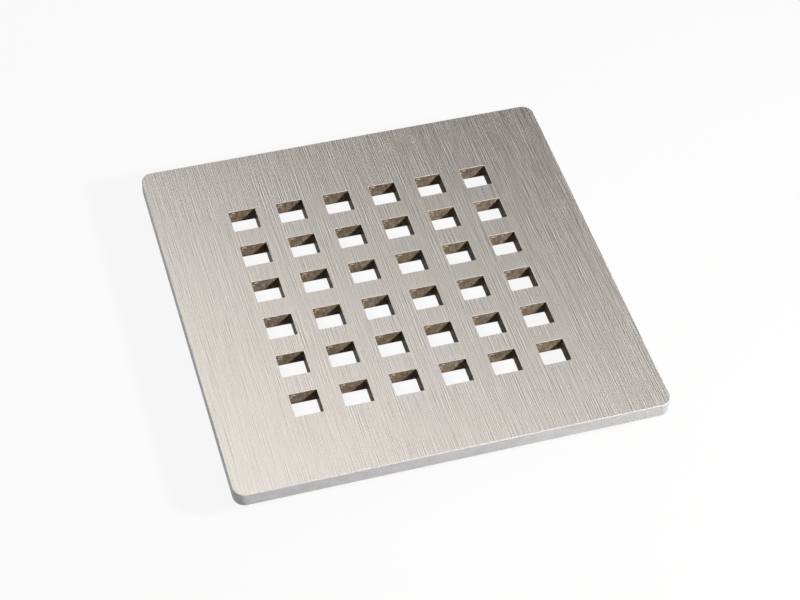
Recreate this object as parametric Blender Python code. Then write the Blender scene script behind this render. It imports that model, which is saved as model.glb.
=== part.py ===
"""Square floor drain grate: a perforated steel plate on four feet that screw up and down to level it.

Metres, +Z up. The origin is under the middle of the plate, on the ledge that the feet stand on.
"""

import math

import bmesh
import bpy

MM = 0.001

# Plate
PLATE_THICKNESS = 4.0 * MM
PLATE_BORDER = 19.25 * MM  # from the outermost holes to the edge
PLATE_CORNER_RADIUS = 3.0 * MM
PLATE_EDGE_BREAK = 0.25 * MM
HOLES_PER_SIDE = 6
HOLE_SIZE = 7.0 * MM
HOLE_PITCH = 12.5 * MM

# Clearances
SEAT_GAP = 0.3 * MM  # between two pieces that bear on, or run in, each other

# Weld studs
STUD_DIAMETER = 5.0 * MM
STUD_FLANGE_STEP = 0.75 * MM  # the flange stands out this far all round
STUD_FLANGE_THICKNESS = 0.8 * MM
STUD_POINT_CHAMFER = 0.5 * MM
THREAD_PITCH = 0.8 * MM
TURNS_EACH_WAY = 1.0

# Nylon sleeves: a fluted grip, a groove for the shoe's lip, and a foot flange
SLEEVE_WALL = 0.5 * MM
SLEEVE_WEB = 0.7 * MM  # closes the lower end of the bore
SLEEVE_GRIP_HEIGHT = 1.8 * MM
SLEEVE_GRIP_STEP = 1.0 * MM
SLEEVE_FLUTES = 16
SLEEVE_FLUTE_DEPTH = 0.25 * MM
SLEEVE_FLANGE_HEIGHT = 1.0 * MM
SLEEVE_FLANGE_STEP = 0.7 * MM

# Rubber shoes
SHOE_WALL = 0.7 * MM
SHOE_BASE = 1.3 * MM
SHOE_LIP = 0.8 * MM
SHOE_TOP_ROUND = 0.4 * MM
SHOE_BOTTOM_ROUND = 0.8 * MM
SHOE_EDGE_MARGIN = 6.0 * MM  # from the side of a shoe to the edge of the plate

# Facets
WELD_DISTANCE = 0.003 * MM  # closer points are one
CORNER_STEPS = 8
ROUND_STEPS = 3
TURNED_STEPS = 32
ROUND_PROFILE = 0.5  # the bevel profile of a circular arc
SMOOTH_ANGLE = math.radians(35)

# Plan of the plate
hole_span = (HOLES_PER_SIDE - 1) * HOLE_PITCH + HOLE_SIZE
plate_half = hole_span / 2 + PLATE_BORDER

# Radii of a foot, from its stud outwards
stud_radius = STUD_DIAMETER / 2
bore_radius = stud_radius + SEAT_GAP
neck_radius = bore_radius + SLEEVE_WALL
grip_radius = neck_radius + SLEEVE_GRIP_STEP
sleeve_flange_radius = neck_radius + SLEEVE_FLANGE_STEP
lip_radius = neck_radius + SEAT_GAP
cavity_radius = sleeve_flange_radius + SEAT_GAP
shoe_radius = cavity_radius + SHOE_WALL
foot_offset = plate_half - SHOE_EDGE_MARGIN - shoe_radius

# Heights of a foot, from the ledge upwards
travel = THREAD_PITCH * TURNS_EACH_WAY
cavity_floor = SHOE_BASE
sleeve_bottom = cavity_floor + SEAT_GAP
bore_floor = sleeve_bottom + SLEEVE_WEB
groove_bottom = sleeve_bottom + SLEEVE_FLANGE_HEIGHT
lip_bottom = groove_bottom + SEAT_GAP
shoe_top = lip_bottom + SHOE_LIP
groove_top = shoe_top + SEAT_GAP
sleeve_top = groove_top + SLEEVE_GRIP_HEIGHT
stud_tip = bore_floor + travel + SEAT_GAP
flange_bottom = sleeve_top + travel + SEAT_GAP
flange_top = flange_bottom + STUD_FLANGE_THICKNESS
plate_bottom = flange_top + SEAT_GAP

CORNERS = {
    "front_left": (-1, -1),
    "front_right": (1, -1),
    "back_left": (-1, 1),
    "back_right": (1, 1),
}


def clear_scene():
    for old in list(bpy.data.objects):
        bpy.data.objects.remove(old, do_unlink=True)


def make_material(name, colour, roughness, metallic):
    material = bpy.data.materials.new(name)
    material.use_nodes = True
    shader = material.node_tree.nodes["Principled BSDF"]
    shader.inputs["Base Color"].default_value = (*colour, 1.0)
    shader.inputs["Roughness"].default_value = roughness
    shader.inputs["Metallic"].default_value = metallic
    return material


def make_mesh(bm, name, material):
    """Turns a bmesh into a mesh that is smooth but for its sharp edges, and frees it."""
    bmesh.ops.recalc_face_normals(bm, faces=bm.faces)
    mesh = bpy.data.meshes.new(name)
    bm.to_mesh(mesh)
    bm.free()
    mesh.shade_smooth()
    mesh.set_sharp_from_angle(angle=SMOOTH_ANGLE)
    mesh.materials.append(material)
    return mesh


def place(name, mesh, parent, location=(0, 0, 0)):
    item = bpy.data.objects.new(name, mesh)
    bpy.context.scene.collection.objects.link(item)
    item.parent = parent
    item.location = location
    return item


def plate_lines():
    """The coordinates, along one side, of the plate's edges and of both sides of every hole."""
    lines = [-plate_half]
    for index in range(HOLES_PER_SIDE):
        start = index * HOLE_PITCH - hole_span / 2
        lines += [start, start + HOLE_SIZE]
    return lines + [plate_half]


def is_upright(edge):
    start, end = edge.verts
    return abs(start.co.z - end.co.z) > PLATE_THICKNESS / 2


def is_side(face):
    return abs(face.normal.z) < face.normal.xy.length


def at_corner(vert):
    return min(abs(vert.co.x), abs(vert.co.y)) > plate_half - WELD_DISTANCE


def on_outline(vert):
    return max(abs(vert.co.x), abs(vert.co.y)) > plate_half - PLATE_CORNER_RADIUS


def make_plate(material):
    bm = bmesh.new()
    lines = plate_lines()
    grid = [[bm.verts.new((x, y, plate_bottom)) for x in lines] for y in lines]
    for row in range(len(lines) - 1):
        for column in range(len(lines) - 1):
            is_hole = row % 2 == 1 and column % 2 == 1
            if not is_hole:
                low, high = grid[row], grid[row + 1]
                bm.faces.new((low[column], low[column + 1], high[column + 1], high[column]))
    bmesh.ops.delete(bm, geom=[v for v in bm.verts if not v.link_faces], context="VERTS")
    raised = bmesh.ops.extrude_face_region(bm, geom=bm.faces[:])["geom"]
    raised_verts = [item for item in raised if isinstance(item, bmesh.types.BMVert)]
    bmesh.ops.translate(bm, verts=raised_verts, vec=(0, 0, PLATE_THICKNESS))

    corners = [edge for edge in bm.edges if is_upright(edge) and at_corner(edge.verts[0])]
    bmesh.ops.bevel(
        bm,
        geom=corners,
        offset=PLATE_CORNER_RADIUS,
        segments=CORNER_STEPS,
        profile=ROUND_PROFILE,
        affect="EDGES",
    )
    bm.normal_update()
    rim = [
        edge
        for edge in bm.edges
        if not is_upright(edge)
        and any(is_side(face) for face in edge.link_faces)
        and all(on_outline(vert) for vert in edge.verts)
    ]
    bmesh.ops.bevel(bm, geom=rim, offset=PLATE_EDGE_BREAK, segments=1, affect="EDGES")
    return place("grate_plate", make_mesh(bm, "grate_plate", material), None)


def round_corner(centre_radius, centre_height, radius, first_angle, last_angle):
    """Points of an arc on a turned profile. Angles are in degrees, from outwards up to +Z."""
    points = []
    for step in range(ROUND_STEPS + 1):
        angle = math.radians(first_angle + (last_angle - first_angle) * step / ROUND_STEPS)
        points.append((centre_radius + radius * math.cos(angle), centre_height + radius * math.sin(angle)))
    return points


def turn(profile, steps=TURNED_STEPS):
    """Turns an open profile of (radius, height) points, which starts and ends on the axis, about +Z."""
    bm = bmesh.new()
    verts = [bm.verts.new((radius, 0, height)) for radius, height in profile]
    edges = [bm.edges.new(pair) for pair in zip(verts, verts[1:])]
    bmesh.ops.spin(
        bm,
        geom=verts + edges,
        axis=(0, 0, 1),
        cent=(0, 0, 0),
        angle=math.tau,
        steps=steps,
        use_merge=True,
    )
    bmesh.ops.remove_doubles(bm, verts=bm.verts, dist=WELD_DISTANCE)
    return bm


def stud_mesh(material):
    flange_radius = stud_radius + STUD_FLANGE_STEP
    profile = [
        (0, flange_top),
        (flange_radius, flange_top),
        (flange_radius, flange_bottom),
        (stud_radius, flange_bottom),
        (stud_radius, stud_tip + STUD_POINT_CHAMFER),
        (stud_radius - STUD_POINT_CHAMFER, stud_tip),
        (0, stud_tip),
    ]
    return make_mesh(turn(profile), "weld_stud", material)


def sleeve_mesh(material):
    profile = [
        (0, bore_floor),
        (bore_radius, bore_floor),
        (bore_radius, sleeve_top),
        (grip_radius, sleeve_top),
        (grip_radius, groove_top),
        (neck_radius, groove_top),
        (neck_radius, groove_bottom),
        (sleeve_flange_radius, groove_bottom),
        (sleeve_flange_radius, sleeve_bottom),
        (0, sleeve_bottom),
    ]
    steps = 2 * SLEEVE_FLUTES
    bm = turn(profile, steps)
    flute_scale = 1 - SLEEVE_FLUTE_DEPTH / grip_radius
    for vert in bm.verts:
        on_grip = vert.co.z > shoe_top and vert.co.xy.length > neck_radius + WELD_DISTANCE
        step = round(math.atan2(vert.co.y, vert.co.x) / math.tau * steps)
        if on_grip and step % 2:
            vert.co.xy *= flute_scale
    return make_mesh(bm, "foot_sleeve", material)


def shoe_mesh(material):
    profile = [
        (0, cavity_floor),
        (cavity_radius, cavity_floor),
        (cavity_radius, lip_bottom),
        (lip_radius, lip_bottom),
        (lip_radius, shoe_top),
        *round_corner(shoe_radius - SHOE_TOP_ROUND, shoe_top - SHOE_TOP_ROUND, SHOE_TOP_ROUND, 90, 0),
        *round_corner(shoe_radius - SHOE_BOTTOM_ROUND, SHOE_BOTTOM_ROUND, SHOE_BOTTOM_ROUND, 0, -90),
        (0, 0),
    ]
    return make_mesh(turn(profile), "foot_shoe", material)


def main():
    clear_scene()
    brushed_steel = make_material("brushed_steel", (0.55, 0.51, 0.48), 0.34, 1.0)
    bright_steel = make_material("bright_steel", (0.62, 0.61, 0.60), 0.25, 1.0)
    nylon = make_material("nylon", (0.78, 0.76, 0.70), 0.45, 0.0)
    rubber = make_material("rubber", (0.03, 0.03, 0.03), 0.8, 0.0)

    plate = make_plate(brushed_steel)
    stud, sleeve, shoe = stud_mesh(bright_steel), sleeve_mesh(nylon), shoe_mesh(rubber)
    for corner, (side, end) in CORNERS.items():
        axis = place(f"foot_axis_{corner}", None, plate, (side * foot_offset, end * foot_offset, 0))
        place(f"weld_stud_{corner}", stud, axis)
        place(f"foot_shoe_{corner}", shoe, axis)
        place(f"foot_sleeve_{corner}", sleeve, axis)


main()
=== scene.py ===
import math
import random
from typing import NamedTuple

import bmesh
import bpy
from mathutils import Matrix, Vector


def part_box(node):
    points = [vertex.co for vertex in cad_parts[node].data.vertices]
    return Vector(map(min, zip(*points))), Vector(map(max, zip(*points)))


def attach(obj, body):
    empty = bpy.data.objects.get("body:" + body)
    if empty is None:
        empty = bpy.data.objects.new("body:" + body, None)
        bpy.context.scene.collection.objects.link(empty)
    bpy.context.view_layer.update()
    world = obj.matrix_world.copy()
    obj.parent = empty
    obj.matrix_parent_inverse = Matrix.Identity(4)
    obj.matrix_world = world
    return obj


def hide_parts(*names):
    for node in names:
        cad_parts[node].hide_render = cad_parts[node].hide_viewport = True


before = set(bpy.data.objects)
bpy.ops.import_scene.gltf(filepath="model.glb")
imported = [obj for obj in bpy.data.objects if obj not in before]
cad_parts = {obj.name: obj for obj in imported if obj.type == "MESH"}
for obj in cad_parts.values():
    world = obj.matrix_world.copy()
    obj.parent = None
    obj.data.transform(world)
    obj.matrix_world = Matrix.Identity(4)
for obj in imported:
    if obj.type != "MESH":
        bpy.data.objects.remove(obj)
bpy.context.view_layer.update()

MM = 0.001


class Bead(NamedTuple):
    """A bead of melt on the far wall of a hole."""

    left: float  # from the hole's left side to the bead's middle
    below: float  # from the plate's top to the bead's middle
    half_width: float
    half_height: float
    rise: float


# Plate, as its solid has it
plate_low, plate_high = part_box("grate_plate")
PLATE_HALF = plate_high.x
PLATE_TOP = plate_high.z
PLATE_BOTTOM = plate_low.z
PLATE_THICKNESS = PLATE_TOP - PLATE_BOTTOM
CORNER_RADIUS = 3.0 * MM
HOLES_PER_SIDE = 6
HOLE_HALF = 3.5 * MM
HOLE_PITCH = 12.5 * MM

# Fine shape of the plate
EDGE_BREAK = 0.19 * MM
EDGE_STEPS = 3
CORNER_STEPS = 10
OUTLINE_SIDE = HOLES_PER_SIDE + 1 + CORNER_STEPS + 1  # points of the outline to each side
HOLE_CORNER_RADIUS = 0.22 * MM
HOLE_CORNER_STEPS = 2  # from the end of a wall to the middle of a corner
HOLE_RIM_BREAK = 0.09 * MM
HOLE_RIM_STEPS = 2
POINTS_TO_A_METRE = 1e8  # points that round to the same place are one

# Laser-cut walls of the holes
WALL_COLUMNS = 12
WALL_DEPTHS = [  # of the rows of points below the top, closer where the beads of melt are
    depth * MM for depth in (0.45, 0.58, 0.7, 0.82, 0.95, 1.25, 1.4, 1.55, 2.1, 2.7, 3.3, 3.85)
]
CUT_WAVES = [(0.95 * MM, 0.5), (1.4 * MM, 0.35), (2.3 * MM, 0.3)]  # length along the cut, share
CUT_ROUGHNESS_TOP = 0.004 * MM
CUT_ROUGHNESS_BOTTOM = 0.022 * MM
CUT_LAG = 0.45 * MM  # the cut's ripples trail by this much at the bottom
CUT_BEADS = [
    Bead(1.25 * MM, 0.68 * MM, 0.62 * MM, 0.2 * MM, 0.13 * MM),
    Bead(0.72 * MM, 1.4 * MM, 0.24 * MM, 0.2 * MM, 0.1 * MM),
]
BEAD_COLUMN_STEP = 0.13 * MM
BEAD_SAG = 0.6  # how far the ends of a bead hang, as a share of its half height
BEAD_BLUNTNESS = 0.7  # the exponent of a bead's rise
BEAD_BRIGHT_RISE = 0.02 * MM  # a bead is bright where it stands off the wall by more than this

# Feet, as their solids have them
CORNERS = {
    "front_left": (-1, -1),
    "front_right": (1, -1),
    "back_left": (-1, 1),
    "back_right": (1, 1),
}
stud_low, stud_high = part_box("weld_stud_front_right")
sleeve_low, sleeve_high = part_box("foot_sleeve_front_right")
shoe_low, shoe_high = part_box("foot_shoe_front_right")
FOOT_OFFSET = (stud_low.x + stud_high.x) / 2
SHARP_ANGLE = math.radians(38)

# Weld studs
STUD_STEPS = 40
STUD_RADIUS = 2.5 * MM
STUD_TIP = stud_low.z
STUD_POINT = 0.5 * MM  # height and width of the chamfer at the tip
STUD_POINT_CROWN = (0.2 * MM, 0.24 * MM)  # how far in and down the chamfer's crown lies
STUD_FLANGE_RADIUS = (stud_high.x - stud_low.x) / 2
STUD_FLANGE_BOTTOM = stud_high.z - 0.8 * MM
STUD_FLANGE_ROUND = (0.2 * MM, 2)  # size and steps, here and below
WELD_BEAD = [  # out from the flange's side, down from the plate
    (0.49 * MM, 0.0),
    (0.45 * MM, 0.1 * MM),
    (0.33 * MM, 0.2 * MM),
    (0.15 * MM, 0.28 * MM),
    (0.0, 0.34 * MM),
]
WELD_RIPPLES = [(0.055 * MM, 13, 0.6), (0.035 * MM, 5, 2.1)]  # height, waves to a turn, phase
THREAD_ROWS = 38
THREAD_PITCH = 0.8 * MM
THREAD_DEPTH = 0.42 * MM
THREAD_RUNOUT = 0.35 * MM
THREAD_CREST = 0.16  # flat of a crest, as a share of the pitch
THREAD_FLANKS = 0.62  # both flanks of a tooth, as a share of the pitch

# Nylon sleeves
SLEEVE_STEPS = 96
SLEEVE_TOP = sleeve_high.z
SLEEVE_BOTTOM = sleeve_low.z
BORE_RADIUS = 2.8 * MM
BORE_FLOOR = SLEEVE_BOTTOM + 0.7 * MM
BORE_CHAMFER = 0.2 * MM
GRIP_RADIUS = (sleeve_high.x - sleeve_low.x) / 2
GRIP_BOTTOM = SLEEVE_TOP - 1.8 * MM
GRIP_TOP_ROUND = (0.2 * MM, 4)
GRIP_BOTTOM_ROUND = (0.15 * MM, 3)
GRIP_FLAT_TOP = SLEEVE_TOP - 0.8 * MM  # the grip's side is shaded straight between these two heights
GRIP_FLAT_BOTTOM = GRIP_BOTTOM + 0.4 * MM
FLUTES = 16
FLUTE_DEPTH = 0.25 * MM
FLUTE_BLUNTNESS = 0.8  # the exponent of a flute's depth
PARTING_RISE = 0.035 * MM
NECK_RADIUS = 3.3 * MM
NECK_TOP_FILLET = (0.15 * MM, 0.12 * MM)  # width and height
NECK_BOTTOM_FILLET = 0.12 * MM
SLEEVE_FLANGE_RADIUS = 4.0 * MM
SLEEVE_FLANGE_TOP = SLEEVE_BOTTOM + 1.0 * MM
SLEEVE_FLANGE_TOP_ROUND = (0.12 * MM, 3)
SLEEVE_FLANGE_BOTTOM_ROUND = (0.18 * MM, 3)

# Rubber shoes
SHOE_STEPS = 64
SHOE_TOP = shoe_high.z
SHOE_RADIUS = (shoe_high.x - shoe_low.x) / 2
SHOE_TOP_ROUND = (0.4 * MM, 6)
SHOE_BOTTOM_ROUND = (0.8 * MM, 8)
SHOE_WAIST = 0.04 * MM  # the side is this far in, above and below its bead
SHOE_WAIST_FOOT = 0.03 * MM  # and this far in at the waist's lower end
SHOE_WAIST_TOP = 2.6 * MM
SHOE_WAIST_BOTTOM = 1.3 * MM
SHOE_BEAD_HEIGHT = 2.0 * MM
SHOE_BEAD_HALF = 0.08 * MM
CAVITY_RADIUS = 4.3 * MM
CAVITY_FLOOR = 1.3 * MM
LIP_RADIUS = 3.6 * MM
LIP_BOTTOM = SHOE_TOP - 0.8 * MM
LIP_BOTTOM_ROUND = (0.12 * MM, 2)
LIP_TOP_ROUND = (0.15 * MM, 3)
SOLE_GROOVES = [3.3 * MM, 1.9 * MM]  # radii
SOLE_GROOVE_HALF = 0.26 * MM
SOLE_GROOVE_DEPTH = 0.22 * MM
SOLE_GROOVE_SHOULDER = (0.72, 0.75)  # shares of the half width and of the depth

# Looks
GRAIN_MAP = "UVMap"
NOISE_MIDDLE = 0.5
NOISE_SWING = 0.2  # nearly all of a noise lies this near its middle
BRUSH_AND_GLINT_WAY = (1.0, 0.3)  # the way in x and y that the brushing deepens and its painted glint grows
BRUSH_AND_GLINT_REACH = 60 * MM  # this far that way it is deepest, and as far the other way shallowest
BRUSH_AND_GLINT_DEPTHS = (0.64, 1.14)
HEAT_INNER = 3.0 * MM  # rings of heat colour round a weld's axis
HEAT_FADE = 6.5 * MM
HEAT_OUTER = 9.0 * MM
HEAT_WAVER = 1.2 * MM

# Floor and backdrop
STAGE_RADIUS = 5.0
STAGE_SIDES = 64
BACKDROP_HEIGHT = 1.4
PAPER_COLOUR = (0.5, 0.5, 0.5)
PAPER_GLOW_SHARE = 0.9  # of a white glow, for what is seen directly or in a reflection

# Lights
WORLD_COLOUR = (1.0, 0.93, 0.86)
WORLD_STRENGTH = 0.06
SOFTBOX_PLACE = (-0.102, 0.306, 0.63)
SOFTBOX_TURN = math.radians(43)
SOFTBOX_SIZE = (0.731, 1.1)
SOFTBOX_POWER = 3.12
SOFTBOX_COLOUR = (0.985, 0.985, 0.985)
KEY_PLACE = (0.235, -0.22, 0.262)
KEY_SIZE = (0.05, 0.05)
KEY_POWER = 2.65
KEY_COLOUR = (1.0, 0.97, 0.93)
CARD_DISTANCE = 1.4
CARD_ELEVATION = math.radians(30)
CARD_SIZE = (2.8, 1.2)
CARD_COLOUR = (1.0, 0.98, 0.96)
CARDS = {  # turn to the left of the front, power
    "front_card": (0.0, 6.8),
    "left_card": (math.radians(90), 3.0),
    "right_card": (math.radians(-90), 2.0),
}

# Camera of the photograph
VIEW_TARGET = Vector((-0.34, -5.46, 12.0)) * MM
VIEW_DISTANCE = 514.5 * MM
VIEW_AZIMUTH = math.radians(18.35)  # the camera stands this far left of the front
VIEW_ELEVATION = math.radians(48.30)
VIEW_ROLL = math.radians(2.68)
FOCAL_PIXELS = 2064.07
IMAGE_WIDTH = 800
SENSOR_WIDTH = 36.0
CLIP_START = 0.01
CLIP_END = 50.0


# Materials


class Finish:
    """A material built from nodes around one shader."""

    def __init__(self, name, constants):
        self.material = bpy.data.materials.new(name)
        self.material.use_nodes = True
        self.tree = self.material.node_tree
        self.shader = self.tree.nodes["Principled BSDF"]
        self.place = self.add("TexCoord").outputs["Object"]
        for socket, value in constants.items():
            self.shader.inputs[socket].default_value = value

    def add(self, kind):
        return self.tree.nodes.new(f"ShaderNode{kind}")

    def link(self, source, target):
        self.tree.links.new(source, target)

    def feed(self, socket, source):
        self.link(source, self.shader.inputs[socket])

    def put(self, target, value):
        """Links a socket, or sets a number or colour."""
        if isinstance(value, bpy.types.NodeSocket):
            self.link(value, target)
        else:
            target.default_value = value

    def axes(self):
        """The x, y and z of the place that is shaded."""
        parts = self.add("SeparateXYZ")
        self.link(self.place, parts.inputs["Vector"])
        return parts.outputs

    def noise(self, scale, detail=2.0, roughness=0.5):
        """Noise from 0 to 1. Scale is the number of grains to a metre along x, y and z."""
        mapping = self.add("Mapping")
        mapping.inputs["Scale"].default_value = scale
        self.link(self.place, mapping.inputs["Vector"])
        grain = self.add("TexNoise")
        grain.inputs["Scale"].default_value = 1.0
        grain.inputs["Detail"].default_value = detail
        grain.inputs["Roughness"].default_value = roughness
        self.link(mapping.outputs["Vector"], grain.inputs["Vector"])
        return grain.outputs[0]

    def math(self, operation, first, second=0.0, third=0.0):
        step = self.add("Math")
        step.operation = operation
        for target, value in zip(step.inputs, (first, second, third)):
            self.put(target, value)
        return step.outputs[0]

    def total(self, *shares):
        """The weighted sum of (share, value) pairs."""
        result = 0.0
        for share, value in shares:
            result = self.math("MULTIPLY_ADD", value, share, result)
        return result

    def spread(self, value, low, high, to_low, to_high):
        """Maps low..high to to_low..to_high, and holds the ends."""
        step = self.add("MapRange")
        for target, number in zip(step.inputs[1:5], (low, high, to_low, to_high)):
            target.default_value = number
        self.link(value, step.inputs["Value"])
        return step.outputs["Result"]

    def ramp(self, value, *stops):
        """Colours between (position, colour) stops."""
        step = self.add("ValToRGB")
        elements = step.color_ramp.elements
        while len(elements) < len(stops):
            elements.new(0.5)
        for element, (position, colour) in zip(elements, stops):
            element.position = position
            element.color = (*colour, 1.0)
        self.link(value, step.inputs["Fac"])
        return step.outputs["Color"]

    def tones(self, value, dark, middle, light, swing=NOISE_SWING):
        """Three colours, for where a noise is low, in its middle and high."""
        low, high = NOISE_MIDDLE - swing, NOISE_MIDDLE + swing
        return self.ramp(value, (low, dark), (NOISE_MIDDLE, middle), (high, light))

    def mix(self, factor, first, second):
        step = self.add("Mix")
        step.data_type = "RGBA"
        factor_input, first_input, second_input = step.inputs[0], step.inputs[6], step.inputs[7]
        self.put(factor_input, factor)
        self.put(first_input, first)
        self.put(second_input, second)
        return step.outputs[2]

    def colour(self, source):
        self.feed("Base Color", source)

    def roughen(self, value, at_low, at_high, swing=NOISE_SWING):
        """Sets the roughness for where a noise is low and for where it is high."""
        low, high = NOISE_MIDDLE - swing, NOISE_MIDDLE + swing
        self.feed("Roughness", self.spread(value, low, high, at_low, at_high))

    def bump(self, height, distance):
        step = self.add("Bump")
        step.inputs["Distance"].default_value = distance
        self.link(height, step.inputs["Height"])
        self.feed("Normal", step.outputs["Normal"])


def shade(colour, factor):
    return tuple(channel * factor for channel in colour)


def make_brushed_top():
    """Satin steel brushed along Y, its grain deeper towards the far right, where its wider swing of colour
    is painted glint.
    """
    finish = Finish("brushed_steel_top", {"Metallic": 1.0, "Anisotropic": 0.45})
    tangent = finish.add("Tangent")
    tangent.direction_type = "UV_MAP"
    tangent.uv_map = GRAIN_MAP
    finish.feed("Tangent", tangent.outputs["Tangent"])
    way = finish.total(*zip(BRUSH_AND_GLINT_WAY, finish.axes()))
    # towards the far right the grain's bump deepens, and its wider colour swing there is painted glint
    depth = finish.spread(way, -BRUSH_AND_GLINT_REACH, BRUSH_AND_GLINT_REACH, *BRUSH_AND_GLINT_DEPTHS)
    fine = finish.noise((4300, 64, 1), detail=1, roughness=0.6)
    streaks = finish.noise((2300, 32, 1), detail=2, roughness=0.65)
    grit = finish.noise((3400, 2600, 1), detail=0)
    bands = finish.noise((420, 14, 1), detail=2)
    cloud = finish.noise((34, 26, 1), detail=3)
    shares = ((0.22, fine), (0.18, streaks), (0.50, grit), (0.10, bands), (0.08, cloud))
    middle = NOISE_MIDDLE * sum(share for share, _ in shares)
    unevenness = finish.math("SUBTRACT", finish.total(*shares), middle)
    # the swing of colour grows with depth: painted glint towards the far right, over the steel's own grain
    tone = finish.math("MULTIPLY_ADD", unevenness, depth, NOISE_MIDDLE)
    steel = (0.75, 0.70, 0.655)
    finish.colour(finish.tones(tone, shade(steel, 0.88), steel, shade(steel, 1.08)))
    lines = finish.total((0.6, fine), (0.4, streaks))
    finish.roughen(lines, 0.28, 0.36)
    finish.bump(finish.math("MULTIPLY", lines, depth), 0.12 * MM)
    return finish.material


def make_ground_side():
    """The ground sides of the plate, with a faint grain along them."""
    finish = Finish("ground_steel_side", {"Metallic": 0.32, "Specular IOR Level": 0.03})
    along = finish.noise((160, 160, 2600), detail=3, roughness=0.6)
    mottle = finish.noise((420, 420, 420), detail=3)
    grain = finish.total((0.6, along), (0.4, mottle))
    steel = (0.47, 0.468, 0.482)
    finish.colour(finish.tones(grain, shade(steel, 0.9), steel, shade(steel, 1.08)))
    finish.roughen(grain, 0.5, 0.38)
    finish.bump(along, 0.004 * MM)
    return finish.material


def make_edge_break(name, steel, smoothest, roughest):
    """Burnished steel of a broken edge."""
    finish = Finish(name, {"Metallic": 0.45})
    wear = finish.noise((1600, 1600, 1600), detail=3)
    finish.colour(finish.tones(wear, shade(steel, 0.88), steel, shade(steel, 1.08), swing=0.18))
    finish.roughen(wear, roughest, smoothest)
    finish.bump(wear, 0.001 * MM)
    return finish.material


def make_cut_wall():
    """The brown, matt skin that the laser leaves on the walls of the holes."""
    finish = Finish("laser_cut_wall", {"Metallic": 0.0, "IOR": 1.03})
    ripples = finish.noise((3600, 3600, 420), detail=2)
    blotches = finish.noise((1150, 1150, 900), detail=3, roughness=0.65)
    tint = finish.noise((110, 110, 300), detail=2)
    skin = finish.total((0.34, ripples), (0.46, blotches), (0.2, tint))
    brown = finish.ramp(
        skin,
        (0.34, (0.076, 0.057, 0.040)),
        (0.47, (0.150, 0.116, 0.082)),
        (0.56, (0.214, 0.173, 0.127)),
        (0.68, (0.40, 0.35, 0.28)),
    )
    finish.colour(brown)
    finish.roughen(skin, 0.25, 0.15, swing=0.15)
    finish.bump(finish.total((0.6, ripples), (0.4, blotches)), 0.01 * MM)
    return finish.material


def make_underside():
    """Mill finish, with rings of heat colour round the four welds."""
    finish = Finish("mill_steel_underside", {"Metallic": 1.0})
    orange_peel = finish.noise((1500, 1500, 1), detail=3)
    cloud = finish.noise((70, 45, 1), detail=4, roughness=0.6)
    rolled = finish.noise((900, 30, 1), detail=2)
    skin = finish.total((0.3, orange_peel), (0.4, cloud), (0.3, rolled))
    steel = (0.50, 0.49, 0.475)
    bare = finish.tones(skin, shade(steel, 0.8), steel, shade(steel, 1.12))
    squares = 0.0
    for place in finish.axes()[:2]:
        off = finish.math("SUBTRACT", finish.math("ABSOLUTE", place), FOOT_OFFSET)
        squares = finish.math("MULTIPLY_ADD", off, off, squares)
    wavering = finish.math("MULTIPLY_ADD", cloud, 2 * HEAT_WAVER, -HEAT_WAVER)
    reach = finish.math("ADD", finish.math("SQRT", squares), wavering)
    heat = finish.ramp(
        finish.spread(reach, HEAT_INNER, HEAT_OUTER, 0.0, 1.0),
        (0.0, (0.27, 0.26, 0.26)),
        (0.22, (0.29, 0.30, 0.36)),
        (0.38, (0.37, 0.30, 0.31)),
        (0.58, (0.48, 0.41, 0.31)),
        (0.8, (0.50, 0.47, 0.42)),
    )
    fade = finish.spread(reach, HEAT_FADE, HEAT_OUTER, 0.0, 1.0)
    finish.colour(finish.mix(fade, heat, bare))
    finish.roughen(skin, 0.52, 0.38)
    finish.bump(skin, 0.006 * MM)
    return finish.material


def make_stud_steel():
    """Bright rolled stainless steel."""
    finish = Finish("bright_steel_stud", {"Metallic": 1.0})
    rings = finish.noise((120, 120, 9000), detail=2)
    stain = finish.noise((500, 500, 300), detail=3)
    skin = finish.total((0.5, rings), (0.5, stain))
    steel = (0.62, 0.61, 0.60)
    finish.colour(finish.tones(skin, shade(steel, 0.75), steel, shade(steel, 1.15)))
    finish.roughen(skin, 0.36, 0.2)
    finish.bump(rings, 0.003 * MM)
    return finish.material


def make_weld_steel():
    """The dull, tinted bead of a weld."""
    finish = Finish("weld_bead_steel", {"Metallic": 1.0})
    scale = finish.noise((1300, 1300, 1300), detail=4, roughness=0.65)
    finish.colour(finish.tones(scale, (0.13, 0.12, 0.13), (0.30, 0.28, 0.27), (0.48, 0.42, 0.33)))
    finish.roughen(scale, 0.62, 0.36)
    finish.bump(scale, 0.03 * MM)
    return finish.material


def make_nylon():
    """Natural moulded nylon."""
    finish = Finish("natural_nylon", {"Metallic": 0.0, "Specular IOR Level": 0.45})
    cloud = finish.noise((420, 420, 420), detail=4)
    peel = finish.noise((5200, 5200, 5200), detail=2)
    skin = finish.total((0.7, cloud), (0.3, peel))
    finish.colour(finish.tones(skin, (0.66, 0.63, 0.55), (0.78, 0.76, 0.70), (0.83, 0.82, 0.77)))
    finish.roughen(skin, 0.5, 0.36)
    finish.bump(peel, 0.006 * MM)
    return finish.material


def make_rubber():
    """Black moulded rubber with a faint bloom."""
    finish = Finish("moulded_rubber", {"Metallic": 0.0, "Specular IOR Level": 0.35})
    bloom = finish.noise((380, 380, 600), detail=4, roughness=0.6)
    grain = finish.noise((6500, 6500, 6500), detail=2)
    skin = finish.total((0.65, bloom), (0.35, grain))
    finish.colour(finish.tones(skin, (0.018, 0.018, 0.018), (0.03, 0.03, 0.03), (0.062, 0.061, 0.059)))
    finish.roughen(skin, 0.62, 0.85)
    finish.bump(grain, 0.012 * MM)
    return finish.material


def add_object(name, data):
    item = bpy.data.objects.new(name, data)
    bpy.context.scene.collection.objects.link(item)
    return item


# Plate


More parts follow.
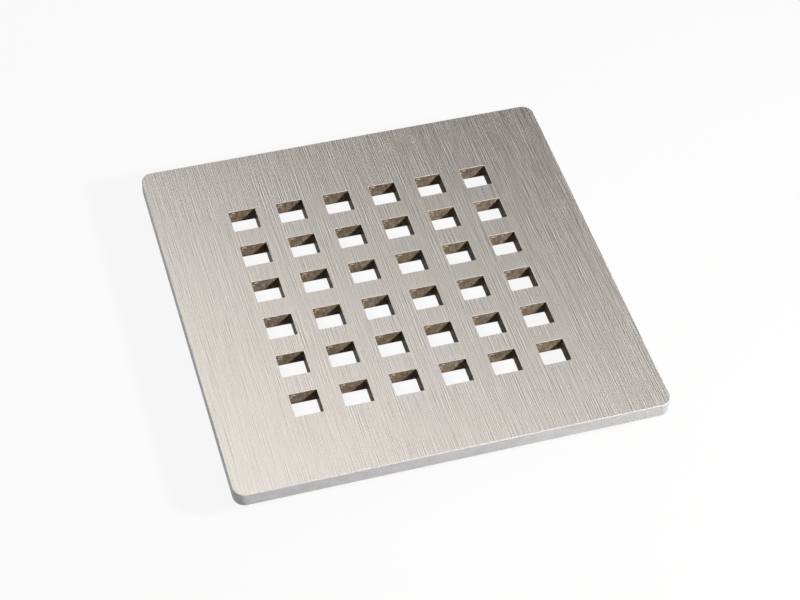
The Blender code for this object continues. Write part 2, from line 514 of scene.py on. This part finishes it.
class PlateMesh:
    """Collects the plate's faces, with shared points."""

    TOP, SIDE, EDGE, RIM, WALL, BEAD, UNDERSIDE = range(7)

    def __init__(self):
        self.bm = bmesh.new()
        self.points = {}

    def point(self, place):
        key = tuple(round(part * POINTS_TO_A_METRE) for part in place)
        if key not in self.points:
            self.points[key] = self.bm.verts.new(place)
        return self.points[key]

    def face(self, corners, material, smooth=False):
        face = self.bm.faces.new([self.point(corner) for corner in corners])
        face.material_index = material
        face.smooth = smooth


def ring_quads(upper, lower):
    """The quads between two loops of as many points."""
    count = len(upper)
    for index in range(count):
        after = (index + 1) % count
        yield upper[index], lower[index], lower[after], upper[after]


def rounded_edge(size, steps):
    """(inset, drop) pairs that round an edge over, from the flat face to the side."""
    angles = [math.pi / 2 * step / steps for step in range(steps + 1)]
    return [(size * (1 - math.sin(angle)), size * (1 - math.cos(angle))) for angle in angles]


def cell_lines():
    """The lines between the holes' square cells, along one side."""
    return [(index - HOLES_PER_SIDE / 2) * HOLE_PITCH for index in range(HOLES_PER_SIDE + 1)]


def outline_loop(inset, z):
    """The plate's outline, anticlockwise from the front's first cell line, with a point at each line."""
    half = PLATE_HALF - inset
    radius = CORNER_RADIUS - inset
    centre = half - radius
    loop = []
    for quarter in range(4):
        turn = Matrix.Rotation(quarter * math.pi / 2, 2)
        side = [Vector((x, -half)) for x in cell_lines()]
        for step in range(CORNER_STEPS + 1):
            angle = -math.pi / 2 + math.pi / 2 * step / CORNER_STEPS
            side.append(Vector((centre + radius * math.cos(angle), -centre + radius * math.sin(angle))))
        loop += [(*(turn @ corner), z) for corner in side]
    return loop


def on_outline_arc(index):
    """Whether a quad of the plate's side is on a rounded corner."""
    return HOLES_PER_SIDE + 1 <= index % OUTLINE_SIDE < OUTLINE_SIDE - 1


def wall_columns(with_beads):
    """Where the columns of points stand along a hole's wall, from its middle."""
    straight = HOLE_HALF - HOLE_CORNER_RADIUS
    columns = [-straight + 2 * straight * step / WALL_COLUMNS for step in range(WALL_COLUMNS + 1)]
    if with_beads:
        low = min(bead.left - bead.half_width for bead in CUT_BEADS) - HOLE_HALF
        high = max(bead.left + bead.half_width for bead in CUT_BEADS) - HOLE_HALF
        margin = BEAD_COLUMN_STEP / 2
        kept = [x for x in columns if not low - margin < x < high + margin]
        count = math.ceil((high - low) / BEAD_COLUMN_STEP)
        columns = sorted(kept + [low + (high - low) * step / count for step in range(count + 1)])
    return columns


def hole_plan(grow):
    """A hole's loop about its middle, clockwise from the left end of its far wall.

    Each point is the number of its side, its place and the direction into the metal.
    """
    points = []
    radius = HOLE_CORNER_RADIUS + grow
    centre = HOLE_HALF - HOLE_CORNER_RADIUS
    corner_steps = 2 * HOLE_CORNER_STEPS
    for side in range(4):
        turn = Matrix.Rotation(-side * math.pi / 2, 2)
        local = [(Vector((x, HOLE_HALF + grow)), Vector((0, 1))) for x in wall_columns(side == 0)]
        for step in range(1, corner_steps):
            angle = math.pi / 2 * (1 - step / corner_steps)
            outward = Vector((math.cos(angle), math.sin(angle)))
            local.append((Vector((centre, centre)) + radius * outward, outward))
        for place, outward in local:
            points.append((side, turn @ place, turn @ outward))
    return points


def bead_rise(x, depth):
    """How far the beads of melt stand off the far wall of a hole at a place on it."""
    rise = 0.0
    for bead in CUT_BEADS:
        across = (x + HOLE_HALF - bead.left) / bead.half_width
        sag = bead.half_height * BEAD_SAG * across * across
        down = (depth - bead.below - sag) / bead.half_height
        inside = 1 - across * across - down * down
        if inside > 0:
            rise = max(rise, bead.rise * inside**BEAD_BLUNTNESS)
    return rise


def cut_ripple(side, place, outward, depth, phases):
    """How far the ripples of the cut push a point of a hole's wall into the metal."""
    share = depth / PLATE_THICKNESS
    clockwise = Vector((outward.y, -outward.x))
    along = side * 2 * HOLE_HALF + place.dot(clockwise) + CUT_LAG * share * share
    size = CUT_ROUGHNESS_TOP + (CUT_ROUGHNESS_BOTTOM - CUT_ROUGHNESS_TOP) * share
    shift = 0.0
    for (length, part), phase in zip(CUT_WAVES, phases):
        shift += size * part * math.sin(math.tau * along / length + phase)
    return shift


def hole_loops(centre, seed):
    """A hole's loops from the plate's top to its bottom: the rounded rim, the walls and the lower edge."""
    chance = random.Random(seed)
    phases = [chance.uniform(0, math.tau) for _ in CUT_WAVES]
    levels = rounded_edge(HOLE_RIM_BREAK, HOLE_RIM_STEPS)
    levels += [(0.0, depth) for depth in WALL_DEPTHS]
    levels.append((HOLE_RIM_BREAK, PLATE_THICKNESS))
    loops = []
    for level, (grow, depth) in enumerate(levels):
        on_wall = HOLE_RIM_STEPS < level < len(levels) - 1
        loop = []
        for side, place, outward in hole_plan(grow):
            shift = 0.0
            if on_wall:
                shift = cut_ripple(side, place, outward, depth, phases)
                if side == 0:
                    shift -= bead_rise(place.x, depth)
            moved = centre + place + outward * shift
            loop.append((*moved, PLATE_TOP - depth))
        loops.append(loop)
    return loops


def is_bead(quad, centre):
    """Whether a quad of a hole's far wall is on a bead of melt."""
    x = sum(corner[0] for corner in quad) / len(quad) - centre.x
    depth = PLATE_TOP - sum(corner[2] for corner in quad) / len(quad)
    return bead_rise(x, depth) > BEAD_BRIGHT_RISE


def hole_sides():
    """For each side of a hole, the indices of its points from the middle of one corner to the next."""
    plan = hole_plan(0.0)
    count = len(plan)
    corners = []
    for side in range(4):
        last = max(index for index, point in enumerate(plan) if point[0] == side)
        corners.append(last + 1 - HOLE_CORNER_STEPS)
    sides = []
    for side in range(4):
        first, last = corners[side - 1], corners[side]
        if first > last:
            first -= count
        sides.append([index % count for index in range(first, last + 1)])
    return sides


def add_flat(plate, z, outline, holes, material, upward):
    """A flat face of the plate round its holes."""

    def face(corners):
        plate.face(corners if upward else corners[::-1], material)

    lines = cell_lines()
    sides = hole_sides()
    for (row, column), loop in holes.items():
        left, right = lines[column], lines[column + 1]
        near, far = lines[row], lines[row + 1]
        corners = [(left, far, z), (right, far, z), (right, near, z), (left, near, z)]
        for side in range(4):
            rim = [loop[index] for index in sides[side]]
            face([*rim, corners[(side + 1) % 4], corners[side]])
    for quarter in range(4):
        turn = Matrix.Rotation(quarter * math.pi / 2, 2)
        start = quarter * OUTLINE_SIDE
        inner = [(*(turn @ Vector((x, lines[0]))), z) for x in lines]
        for index in range(HOLES_PER_SIDE):
            face([outline[start + index], outline[start + index + 1], inner[index + 1], inner[index]])
        corner = range(start + HOLES_PER_SIDE, start + OUTLINE_SIDE + 1)
        face([inner[-1], *[outline[index % len(outline)] for index in corner]])


def add_hole(plate, loops, centre):
    """The rim and walls of a hole, bright where the beads of melt are."""
    far_quads = sum(1 for side, _, _ in hole_plan(0.0) if side == 0) - 1
    for level, (upper, lower) in enumerate(zip(loops, loops[1:])):
        for index, quad in enumerate(ring_quads(upper, lower)):
            material = plate.WALL
            if level < HOLE_RIM_STEPS:
                material = plate.RIM
            elif index < far_quads and is_bead(quad, centre):
                material = plate.BEAD
            plate.face(quad, material, True)


def add_rim(plate, upper, lower):
    """The sides of the plate, between the loops of its upper and lower edge breaks."""
    for first, second in [*zip(upper, upper[1:]), *zip(lower[::-1], lower[-2::-1])]:
        for quad in ring_quads(first, second):
            plate.face(quad, plate.EDGE, True)
    for index, quad in enumerate(ring_quads(upper[-1], lower[-1])):
        plate.face(quad, plate.SIDE, on_outline_arc(index))


def lay_grain(bm):
    """Maps each face flat along the two axes that it faces least, to steer the brushing."""
    grain = bm.loops.layers.uv.new(GRAIN_MAP)
    bm.normal_update()
    for face in bm.faces:
        facing = max(range(3), key=lambda axis: abs(face.normal[axis]))
        across, up = [axis for axis in range(3) if axis != facing]
        for corner in face.loops:
            place = corner.vert.co
            corner[grain].uv = (place[across] / HOLE_PITCH, place[up] / HOLE_PITCH)


def make_plate():
    plate = PlateMesh()
    lines = cell_lines()
    upper_rims = {}
    lower_rims = {}
    for row in range(HOLES_PER_SIDE):
        for column in range(HOLES_PER_SIDE):
            centre = Vector((lines[column] + lines[column + 1], lines[row] + lines[row + 1])) / 2
            loops = hole_loops(centre, row * HOLES_PER_SIDE + column)
            add_hole(plate, loops, centre)
            upper_rims[row, column] = loops[0]
            lower_rims[row, column] = loops[-1]
    insets = rounded_edge(EDGE_BREAK, EDGE_STEPS)
    upper = [outline_loop(inset, PLATE_TOP - drop) for inset, drop in insets]
    lower = [outline_loop(inset, PLATE_BOTTOM + drop) for inset, drop in insets]
    add_rim(plate, upper, lower)
    add_flat(plate, PLATE_TOP, upper[0], upper_rims, plate.TOP, True)
    add_flat(plate, PLATE_BOTTOM, lower[0], lower_rims, plate.UNDERSIDE, False)
    lay_grain(plate.bm)
    mesh = bpy.data.meshes.new("plate")
    plate.bm.to_mesh(mesh)
    plate.bm.free()
    for material in (
        make_brushed_top(),
        make_ground_side(),
        make_edge_break("burnished_edge", (0.67, 0.657, 0.64), 0.28, 0.38),
        make_edge_break("burnished_hole_rim", (0.74, 0.71, 0.67), 0.3, 0.42),
        make_cut_wall(),
        make_edge_break("melt_bead", (0.58, 0.51, 0.42), 0.2, 0.34),
        make_underside(),
    ):
        mesh.materials.append(material)
    return add_object("plate", mesh)


# Feet


def turned_mesh(name, profile, steps, material, radius_at=None):
    """A mesh turned from (radius, height) points, with poles at radius 0.

    radius_at(ring, step) gives each point its own radius.
    """
    bm = bmesh.new()
    rings = []
    for index, (radius, height) in enumerate(profile):
        if radius == 0:
            rings.append([bm.verts.new((0, 0, height))])
            continue
        ring = []
        for step in range(steps):
            angle = math.tau * step / steps
            reach = radius_at(index, step) if radius_at else radius
            ring.append(bm.verts.new((reach * math.cos(angle), reach * math.sin(angle), height)))
        rings.append(ring)
    for first, second in zip(rings, rings[1:]):
        for step in range(steps):
            after = (step + 1) % steps
            if len(first) == 1:
                bm.faces.new((first[0], second[step], second[after]))
            elif len(second) == 1:
                bm.faces.new((first[step], second[0], first[after]))
            else:
                bm.faces.new((first[step], second[step], second[after], first[after]))
    bmesh.ops.recalc_face_normals(bm, faces=bm.faces)
    mesh = bpy.data.meshes.new(name)
    bm.to_mesh(mesh)
    bm.free()
    mesh.shade_smooth()
    mesh.set_sharp_from_angle(angle=SHARP_ANGLE)
    mesh.materials.append(material)
    return mesh


def arc_points(centre_radius, centre_height, radius, first, last, steps):
    """Points of an arc on a turned profile. Angles are in degrees from outwards up to +Z."""
    points = []
    for step in range(steps + 1):
        angle = math.radians(first + (last - first) * step / steps)
        points.append((centre_radius + radius * math.cos(angle), centre_height + radius * math.sin(angle)))
    return points


def upper_round(radius, top, size, steps):
    """The rounded upper edge of a turned piece, from its top to its side."""
    return arc_points(radius - size, top - size, size, 90, 0, steps)


def lower_round(radius, bottom, size, steps):
    """The rounded lower edge of a turned piece, from its side to its bottom."""
    return arc_points(radius - size, bottom + size, size, 0, -90, steps)


def inner_lower_round(radius, bottom, size, steps):
    """The rounded lower edge of a turned opening, from its bottom to its side."""
    return arc_points(radius + size, bottom + size, size, 270, 180, steps)


def inner_upper_round(radius, top, size, steps):
    """The rounded upper edge of a turned opening, from its side to its top."""
    return arc_points(radius + size, top - size, size, 180, 90, steps)


def tooth(phase):
    """The depth of a thread, from 0 at its crest to 1 at its root, over one pitch."""
    offset = abs((phase + 0.5) % 1.0 - 0.5) * 2
    return min(1.0, max(0.0, (offset - THREAD_CREST) / THREAD_FLANKS))


def make_stud_mesh():
    bead = [(STUD_FLANGE_RADIUS + out, PLATE_BOTTOM - down) for out, down in WELD_BEAD]
    flange = lower_round(STUD_FLANGE_RADIUS, STUD_FLANGE_BOTTOM, *STUD_FLANGE_ROUND)
    thread_bottom = STUD_TIP + STUD_POINT
    thread_length = STUD_FLANGE_BOTTOM - thread_bottom
    heights = [STUD_FLANGE_BOTTOM - thread_length * row / THREAD_ROWS for row in range(THREAD_ROWS + 1)]
    thread = [(STUD_RADIUS, height) for height in heights]
    crown_in, crown_down = STUD_POINT_CROWN
    point = [(STUD_RADIUS - crown_in, thread_bottom - crown_down), (STUD_RADIUS - STUD_POINT, STUD_TIP)]
    profile = [(0, PLATE_BOTTOM), *bead, *flange, *thread, *point, (0, STUD_TIP)]
    rippled_rings = range(1, len(bead))
    first_thread = 1 + len(bead) + len(flange)
    threaded_rings = range(first_thread, first_thread + len(thread) + 1)  # and the crown of the point

    def radius_at(ring, step):
        radius, height = profile[ring]
        angle = math.tau * step / STUD_STEPS
        if ring in rippled_rings:
            ripples = [rise * math.sin(waves * angle + phase) for rise, waves, phase in WELD_RIPPLES]
            return radius + sum(ripples)
        if ring in threaded_rings:
            runout = min(1.0, (STUD_FLANGE_BOTTOM - height) / THREAD_RUNOUT)
            depth = THREAD_DEPTH * runout * tooth(height / THREAD_PITCH - angle / math.tau)
            return min(radius, STUD_RADIUS - depth)
        return radius

    mesh = turned_mesh("stud", profile, STUD_STEPS, make_stud_steel(), radius_at)
    mesh.materials.append(make_weld_steel())
    weld_index = len(mesh.materials) - 1
    bead_bottom = bead[-1][1]
    for face in mesh.polygons:
        if face.center.z > bead_bottom:
            face.material_index = weld_index
    return mesh


def make_sleeve_mesh():
    fillet_width, fillet_height = NECK_TOP_FILLET
    profile = [
        (0, BORE_FLOOR),
        (BORE_RADIUS, BORE_FLOOR),
        (BORE_RADIUS, SLEEVE_TOP - BORE_CHAMFER),
        (BORE_RADIUS + BORE_CHAMFER, SLEEVE_TOP),
        *upper_round(GRIP_RADIUS, SLEEVE_TOP, *GRIP_TOP_ROUND),
        (GRIP_RADIUS, GRIP_FLAT_TOP),
        (GRIP_RADIUS, GRIP_FLAT_BOTTOM),
        *lower_round(GRIP_RADIUS, GRIP_BOTTOM, *GRIP_BOTTOM_ROUND),
        (NECK_RADIUS + fillet_width, GRIP_BOTTOM),
        (NECK_RADIUS, GRIP_BOTTOM - fillet_height),
        (NECK_RADIUS, SLEEVE_FLANGE_TOP + NECK_BOTTOM_FILLET),
        (NECK_RADIUS + NECK_BOTTOM_FILLET, SLEEVE_FLANGE_TOP),
        *upper_round(SLEEVE_FLANGE_RADIUS, SLEEVE_FLANGE_TOP, *SLEEVE_FLANGE_TOP_ROUND),
        *lower_round(SLEEVE_FLANGE_RADIUS, SLEEVE_BOTTOM, *SLEEVE_FLANGE_BOTTOM_ROUND),
        (0, SLEEVE_BOTTOM),
    ]

    def radius_at(ring, step):
        radius, height = profile[ring]
        on_grip = height > SHOE_TOP and radius > SLEEVE_FLANGE_RADIUS
        if not on_grip:
            return radius
        valley = (1 - math.cos(FLUTES * math.tau * step / SLEEVE_STEPS)) / 2
        reach = radius - FLUTE_DEPTH * valley**FLUTE_BLUNTNESS
        on_parting_line = step % (SLEEVE_STEPS // 2) == 0
        if on_parting_line:
            reach = min(reach + PARTING_RISE, GRIP_RADIUS)
        return reach

    return turned_mesh("sleeve", profile, SLEEVE_STEPS, make_nylon(), radius_at)


def sole_groove(middle):
    """A rounded ring groove in the sole of a shoe."""
    half_share, depth_share = SOLE_GROOVE_SHOULDER
    shoulder = SOLE_GROOVE_HALF * half_share
    return [
        (middle + SOLE_GROOVE_HALF, 0),
        (middle + shoulder, SOLE_GROOVE_DEPTH * depth_share),
        (middle, SOLE_GROOVE_DEPTH),
        (middle - shoulder, SOLE_GROOVE_DEPTH * depth_share),
        (middle - SOLE_GROOVE_HALF, 0),
    ]


def make_shoe_mesh():
    waist_radius = SHOE_RADIUS - SHOE_WAIST
    profile = [
        (0, CAVITY_FLOOR),
        (CAVITY_RADIUS, CAVITY_FLOOR),
        (CAVITY_RADIUS, LIP_BOTTOM),
        *inner_lower_round(LIP_RADIUS, LIP_BOTTOM, *LIP_BOTTOM_ROUND),
        *inner_upper_round(LIP_RADIUS, SHOE_TOP, *LIP_TOP_ROUND),
        *upper_round(SHOE_RADIUS, SHOE_TOP, *SHOE_TOP_ROUND),
        (waist_radius, SHOE_WAIST_TOP),
        (waist_radius, SHOE_BEAD_HEIGHT + SHOE_BEAD_HALF),
        (SHOE_RADIUS, SHOE_BEAD_HEIGHT),
        (waist_radius, SHOE_BEAD_HEIGHT - SHOE_BEAD_HALF),
        (SHOE_RADIUS - SHOE_WAIST_FOOT, SHOE_WAIST_BOTTOM),
        *lower_round(SHOE_RADIUS, 0, *SHOE_BOTTOM_ROUND),
        *[point for middle in SOLE_GROOVES for point in sole_groove(middle)],
        (0, 0),
    ]
    return turned_mesh("shoe", profile, SHOE_STEPS, make_rubber())


def add_foot_piece(kind, mesh, node, body, corner):
    side, end = CORNERS[corner]
    piece = add_object(f"{kind}_{corner}", mesh)
    piece.location = (side * FOOT_OFFSET, end * FOOT_OFFSET, 0)
    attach(piece, body)
    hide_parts(node)


# Floor, light and camera


def make_paper():
    """Matt paper that shows nearly white, but throws only its own colour's light on the object."""
    material = bpy.data.materials.new("studio_paper")
    material.use_nodes = True
    tree = material.node_tree
    tree.nodes.clear()
    output = tree.nodes.new("ShaderNodeOutputMaterial")
    matt = tree.nodes.new("ShaderNodeBsdfDiffuse")
    matt.inputs["Color"].default_value = (*PAPER_COLOUR, 1.0)
    glow = tree.nodes.new("ShaderNodeEmission")
    rays = tree.nodes.new("ShaderNodeLightPath")
    seen = rays.outputs["Is Camera Ray"]
    for kind in ("Is Glossy Ray", "Is Transmission Ray"):
        either = tree.nodes.new("ShaderNodeMath")
        either.operation = "MAXIMUM"
        tree.links.new(seen, either.inputs[0])
        tree.links.new(rays.outputs[kind], either.inputs[1])
        seen = either.outputs[0]
    share = tree.nodes.new("ShaderNodeMath")
    share.operation = "MULTIPLY"
    share.inputs[1].default_value = PAPER_GLOW_SHARE
    tree.links.new(seen, share.inputs[0])
    lit = tree.nodes.new("ShaderNodeMixShader")
    tree.links.new(share.outputs[0], lit.inputs[0])
    tree.links.new(matt.outputs[0], lit.inputs[1])
    tree.links.new(glow.outputs[0], lit.inputs[2])
    under = tree.nodes.new("ShaderNodeBsdfTransparent")
    facing = tree.nodes.new("ShaderNodeNewGeometry")
    shown = tree.nodes.new("ShaderNodeMixShader")
    tree.links.new(facing.outputs["Backfacing"], shown.inputs[0])
    tree.links.new(lit.outputs[0], shown.inputs[1])
    tree.links.new(under.outputs[0], shown.inputs[2])
    tree.links.new(shown.outputs[0], output.inputs["Surface"])
    return material


def add_stage(name, points, faces, material):
    mesh = bpy.data.meshes.new(name)
    mesh.from_pydata(points, [], faces)
    mesh.materials.append(material)
    add_object(name, mesh)


def make_stage():
    """A round floor, and a low backdrop round it for level views."""
    paper = make_paper()
    angles = [math.tau * step / STAGE_SIDES for step in range(STAGE_SIDES)]
    foot = [(STAGE_RADIUS * math.cos(angle), STAGE_RADIUS * math.sin(angle), 0) for angle in angles]
    head = [(x, y, BACKDROP_HEIGHT) for x, y, _ in foot]
    add_stage("floor", foot, [range(STAGE_SIDES)], paper)
    walls = []
    for step in range(STAGE_SIDES):
        following = (step + 1) % STAGE_SIDES
        walls.append((following, step, step + STAGE_SIDES, following + STAGE_SIDES))
    add_stage("backdrop", foot + head, walls, paper)


def add_area_light(name, location, size, power, colour):
    """A lamp that shines straight down."""
    lamp = bpy.data.lights.new(name, "AREA")
    lamp.shape = "RECTANGLE"
    lamp.size, lamp.size_y = size
    lamp.energy = power
    lamp.color = colour
    item = add_object(name, lamp)
    item.location = location
    return item


def aim(lamp, target):
    lamp.rotation_euler = (target - lamp.location).to_track_quat("-Z", "Y").to_euler()


def make_softbox():
    softbox = add_area_light("softbox", SOFTBOX_PLACE, SOFTBOX_SIZE, SOFTBOX_POWER, SOFTBOX_COLOUR)
    softbox.rotation_euler = (0, 0, SOFTBOX_TURN)


def make_key():
    """A small lamp that throws the shadows in the holes and isn't itself seen."""
    key = add_area_light("key", KEY_PLACE, KEY_SIZE, KEY_POWER, KEY_COLOUR)
    aim(key, VIEW_TARGET)
    key.visible_glossy = False
    key.visible_camera = False


def make_cards():
    """Cards round the object that are seen only in its reflections."""
    for name, (turn, power) in CARDS.items():
        place = Vector((-math.sin(turn), -math.cos(turn), math.tan(CARD_ELEVATION))) * CARD_DISTANCE
        card = add_area_light(name, place, CARD_SIZE, power, CARD_COLOUR)
        aim(card, VIEW_TARGET)
        card.visible_diffuse = False
        card.visible_camera = False


def make_world():
    world = bpy.data.worlds.new("studio")
    world.use_nodes = True
    background = world.node_tree.nodes["Background"]
    background.inputs["Color"].default_value = (*WORLD_COLOUR, 1.0)
    background.inputs["Strength"].default_value = WORLD_STRENGTH
    bpy.context.scene.world = world


def make_camera():
    level_reach = math.cos(VIEW_ELEVATION)
    towards_camera = Vector((-math.sin(VIEW_AZIMUTH), -math.cos(VIEW_AZIMUTH), 0))
    back = towards_camera * level_reach + Vector((0, 0, math.sin(VIEW_ELEVATION)))
    level = Vector((math.cos(VIEW_AZIMUTH), -math.sin(VIEW_AZIMUTH), 0))
    right = Matrix.Rotation(VIEW_ROLL, 3, back) @ level
    up = back.cross(right)
    data = bpy.data.cameras.new("camera")
    data.sensor_fit = "HORIZONTAL"
    data.sensor_width = SENSOR_WIDTH
    data.lens = FOCAL_PIXELS * SENSOR_WIDTH / IMAGE_WIDTH
    data.clip_start = CLIP_START
    data.clip_end = CLIP_END
    camera = add_object("camera", data)
    camera.matrix_world = Matrix((right, up, back)).transposed().to_4x4()
    camera.location = VIEW_TARGET + back * VIEW_DISTANCE
    bpy.context.scene.camera = camera


plate = make_plate()
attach(plate, "grate")
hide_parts("grate_plate")

stud, sleeve, shoe = make_stud_mesh(), make_sleeve_mesh(), make_shoe_mesh()
for corner in CORNERS:
    add_foot_piece("stud", stud, f"weld_stud_{corner}", "grate", corner)
    add_foot_piece("sleeve", sleeve, f"foot_sleeve_{corner}", f"sleeve_{corner}", corner)
    add_foot_piece("shoe", shoe, f"foot_shoe_{corner}", f"shoe_{corner}", corner)

make_stage()
make_world()
make_softbox()
make_key()
make_cards()
make_camera()
bpy.context.scene.view_settings.view_transform = "Standard"
